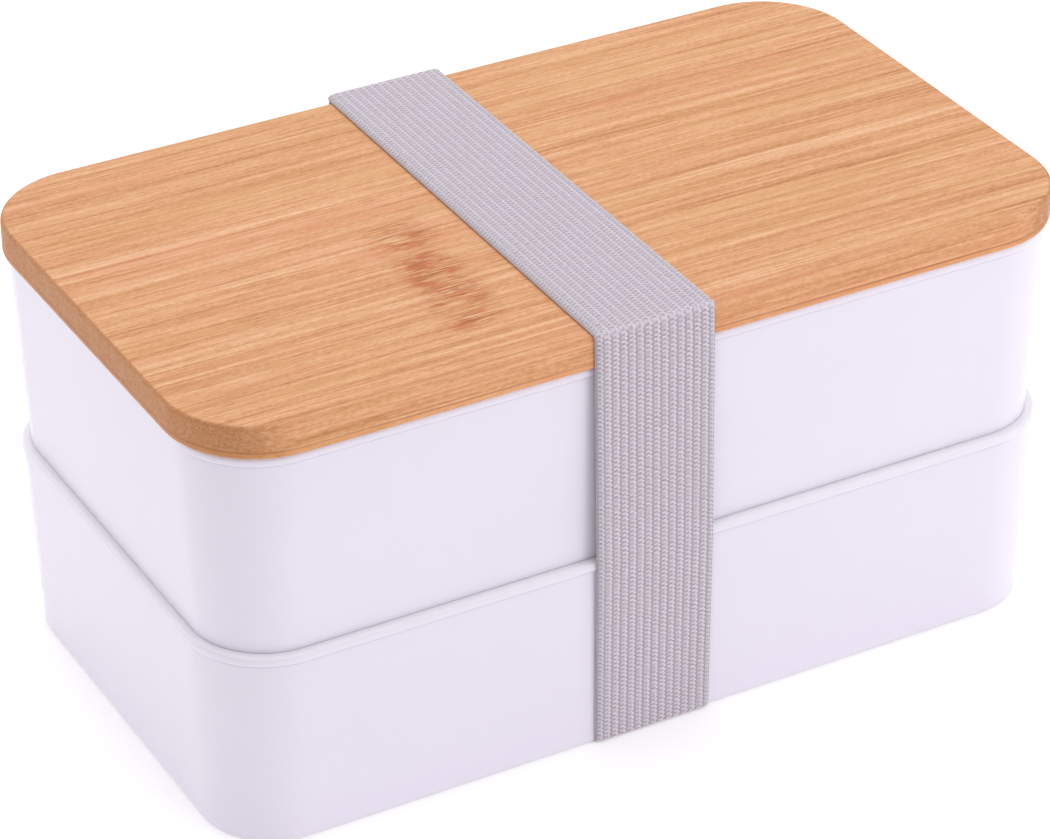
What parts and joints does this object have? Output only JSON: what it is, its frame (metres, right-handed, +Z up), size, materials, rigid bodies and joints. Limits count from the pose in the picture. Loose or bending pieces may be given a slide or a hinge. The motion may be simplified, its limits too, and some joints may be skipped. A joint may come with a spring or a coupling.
{
  "type": "bento lunch box",
  "caption": "Rectangular stacked lunch box with rounded corners: a bamboo lid, two food boxes, an inner lid with a cutlery tub, and a wide woven elastic band round the stack.",
  "frame": {"origin": "on the table, under the middle of the boxes, on the underside of the elastic band that the box stands on", "axes": "+Z up; X along the long side; the front, the long side with no sewn overlap in the band, faces -Y"},
  "size_m": [0.185, 0.1083, 0.0923],
  "materials": {
    "bamboo": "smooth sanded bamboo under a thin matt oil, grain along the long side",
    "box_plastic": "smooth moulded white plastic with a slight lavender tint and a satin gloss",
    "inner_plastic": "fine-textured moulded white plastic",
    "silicone": "soft translucent white silicone",
    "webbing": "knitted elastic webbing with lengthwise ribs, grey with a lilac tint",
    "thread": "twisted polyester sewing thread",
    "cutlery_plastic": "satin moulded plastic, pale grey with a lilac tint"
  },
  "bodies": {
    "lower_box": {"lower_box": "box_plastic"},
    "middle_lid": {"middle_lid": "inner_plastic", "middle_lid_seal": "silicone"},
    "upper_box": {"upper_box": "box_plastic"},
    "upper_divider": {"upper_divider": "inner_plastic"},
    "bamboo_lid": {"bamboo_lid": "bamboo", "lid_seal": "silicone"},
    "elastic_band": {"elastic_band": "webbing", "band_stitch_upper": "thread", "band_stitch_lower": "thread"},
    "spoon": {"spoon": "cutlery_plastic"},
    "knife": {"knife": "cutlery_plastic"},
    "fork": {"fork": "cutlery_plastic"}
  },
  "joints": [
    {"name": "middle_lid_lift", "type": "slide", "parent": "lower_box", "child": "middle_lid", "axis": [0, 0, 1], "range_m": [0, 0.065]},
    {"name": "upper_box_lift", "type": "slide", "parent": "middle_lid", "child": "upper_box", "axis": [0, 0, 1], "range_m": [0, 0.08]},
    {"name": "bamboo_lid_lift", "type": "slide", "parent": "upper_box", "child": "bamboo_lid", "axis": [0, 0, 1], "range_m": [0, 0.1]},
    {"name": "divider_lift", "type": "slide", "parent": "upper_box", "child": "upper_divider", "axis": [0, 0, 1], "range_m": [0, 0.042]},
    {"name": "spoon_lift", "type": "slide", "parent": "middle_lid", "child": "spoon", "axis": [0, 0, 1], "range_m": [0, 0.02]},
    {"name": "knife_lift", "type": "slide", "parent": "middle_lid", "child": "knife", "axis": [0, 0, 1], "range_m": [0, 0.02]},
    {"name": "fork_lift", "type": "slide", "parent": "middle_lid", "child": "fork", "axis": [0, 0, 1], "range_m": [0, 0.02]},
    {"name": "band_slide", "type": "slide", "parent": "lower_box", "child": "elastic_band", "axis": [1, 0, 0], "range_m": [-0.107, 0.114], "deforming": ["elastic_band"]}
  ],
  "couplings": [
    {"joint": "divider_lift", "follows": "bamboo_lid_lift", "ratio": 0.42},
    {"joint": "spoon_lift", "follows": "upper_box_lift", "ratio": 0.25},
    {"joint": "knife_lift", "follows": "upper_box_lift", "ratio": 0.25},
    {"joint": "fork_lift", "follows": "upper_box_lift", "ratio": 0.25}
  ]
}
